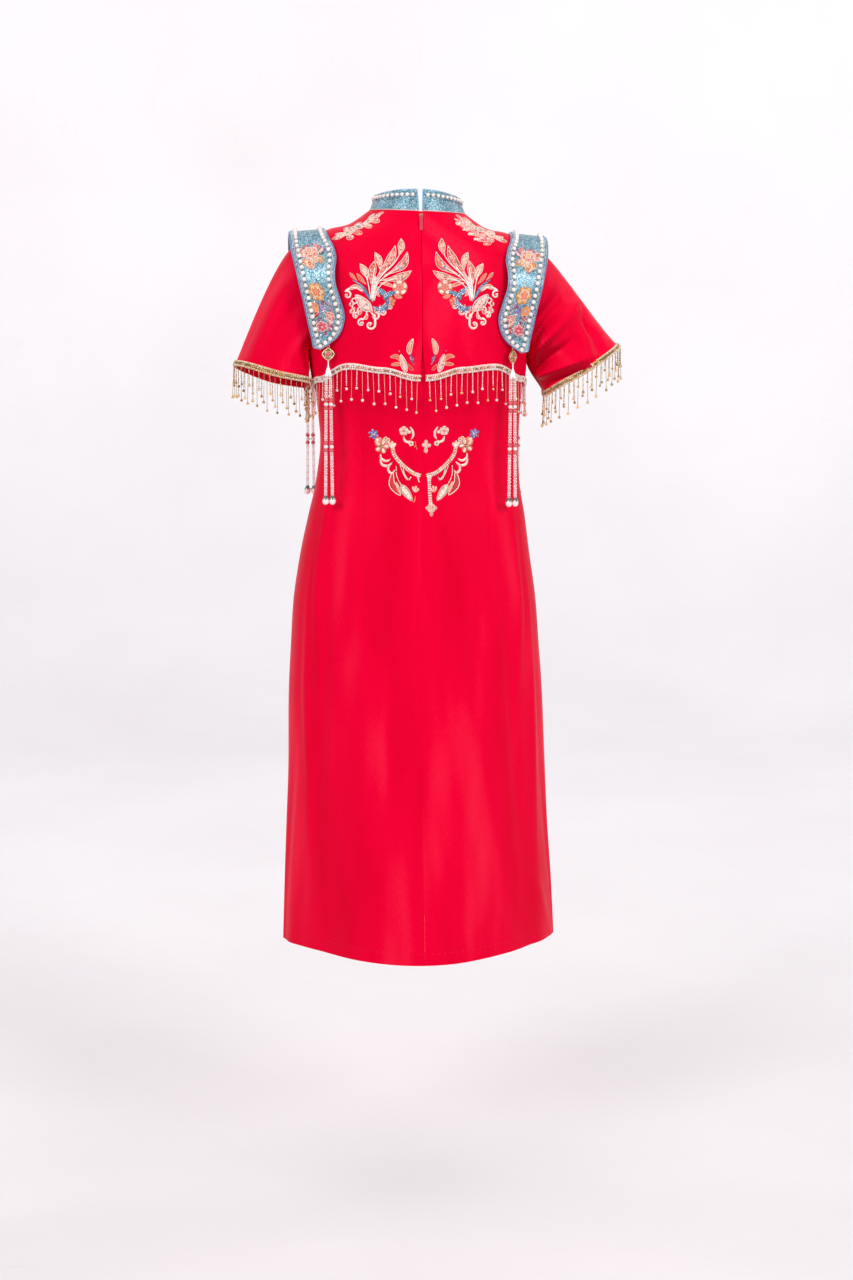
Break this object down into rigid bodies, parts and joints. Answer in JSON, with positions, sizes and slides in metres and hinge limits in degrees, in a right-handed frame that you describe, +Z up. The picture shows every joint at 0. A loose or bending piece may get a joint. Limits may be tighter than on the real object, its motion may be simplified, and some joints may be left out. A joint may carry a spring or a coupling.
{
  "type": "hanfu wedding dress",
  "caption": "Red satin bridal sheath dress with short beaded overlay, short sleeves, open-back stand collar, stiff shoulder bands, bead fringe and tassels, in its worn hollow form.",
  "frame": {"origin": "middle of the neck at the height of the side neck points, where the wearer's neck and shoulders hold the dress up", "axes": "+Z up, -Y to the wearer's front, +X to the wearer's left"},
  "size_m": [0.5856, 0.2708, 1.1568],
  "materials": {
    "satin": "heavy duchess satin, soft sheen",
    "glitter_cloth": "blue iridescent glitter cloth, stiffened",
    "braid": "cream and gold beaded braid",
    "fringe": "gold bead and pin fringe",
    "beadwork": "cream, peach and coral beads on a backing",
    "flowers": "sewn silk and bead flowers",
    "enamel": "gold frame with enamel",
    "pearl": "pearl beads",
    "gold": "polished",
    "zip_tape": "woven tape",
    "lacquer": "red lacquered pull"
  },
  "bodies": {
    "garment": {"dress_front": "satin", "dress_back_left": "satin", "dress_back_right": "satin", "overlay_front": "satin", "overlay_back_left": "satin", "overlay_back_right": "satin", "sleeve_left": "satin", "sleeve_right": "satin", "collar": "glitter_cloth", "shoulder_band_left": "glitter_cloth", "shoulder_band_right": "glitter_cloth", "hem_braid_front": "braid", "hem_braid_back_left": "braid", "hem_braid_back_right": "braid", "cuff_braid_left": "braid", "cuff_braid_right": "braid", "hem_fringe_front": "fringe", "hem_fringe_back_left": "fringe", "hem_fringe_back_right": "fringe", "cuff_fringe_left": "fringe", "cuff_fringe_right": "fringe", "bird_left": "beadwork", "bird_right": "beadwork", "sprig_left": "beadwork", "sprig_right": "beadwork", "curl_left": "beadwork", "curl_right": "beadwork", "garland_left": "beadwork", "garland_right": "beadwork", "garland_drop": "beadwork", "shoulder_spray_left": "beadwork", "shoulder_spray_right": "beadwork", "flower_high_left": "flowers", "flower_high_right": "flowers", "flower_low_left": "flowers", "flower_low_right": "flowers", "zip_tape": "zip_tape", "zip_slider": "gold"},
    "pull_tab": {"zip_pull_tab": "lacquer"},
    "tassel_back_left": {"medallion_back_left": "enamel", "strand_back_left_a": "pearl", "strand_back_left_b": "pearl"},
    "tassel_back_right": {"medallion_back_right": "enamel", "strand_back_right_a": "pearl", "strand_back_right_b": "pearl"},
    "tassel_front_left": {"medallion_front_left": "enamel", "strand_front_left_a": "pearl", "strand_front_left_b": "pearl"},
    "tassel_front_right": {"medallion_front_right": "enamel", "strand_front_right_a": "pearl", "strand_front_right_b": "pearl"}
  },
  "joints": [
    {"name": "pull_tab_hinge", "type": "hinge", "parent": "garment", "child": "pull_tab", "pos_m": [-0.00007, 0.07326, -0.00222], "axis": [1, 0, 0], "range_deg": [0, 150]},
    {"name": "tassel_swing_back_left", "type": "hinge", "parent": "garment", "child": "tassel_back_left", "pos_m": [0.13708, 0.08148, -0.1896], "axis": [1, 0, 0], "range_deg": [0, 35]},
    {"name": "tassel_swing_back_right", "type": "hinge", "parent": "garment", "child": "tassel_back_right", "pos_m": [-0.1354, 0.08184, -0.19492], "axis": [0.5736, 0.8192, 0], "range_deg": [0, 35]},
    {"name": "tassel_swing_front_left", "type": "hinge", "parent": "garment", "child": "tassel_front_left", "pos_m": [0.159, -0.09661, -0.19581], "axis": [-1, 0, 0], "range_deg": [0, 35]},
    {"name": "tassel_swing_front_right", "type": "hinge", "parent": "garment", "child": "tassel_front_right", "pos_m": [-0.159, -0.09661, -0.2028], "axis": [-0.9397, 0.342, 0], "range_deg": [0, 35]}
  ]
}
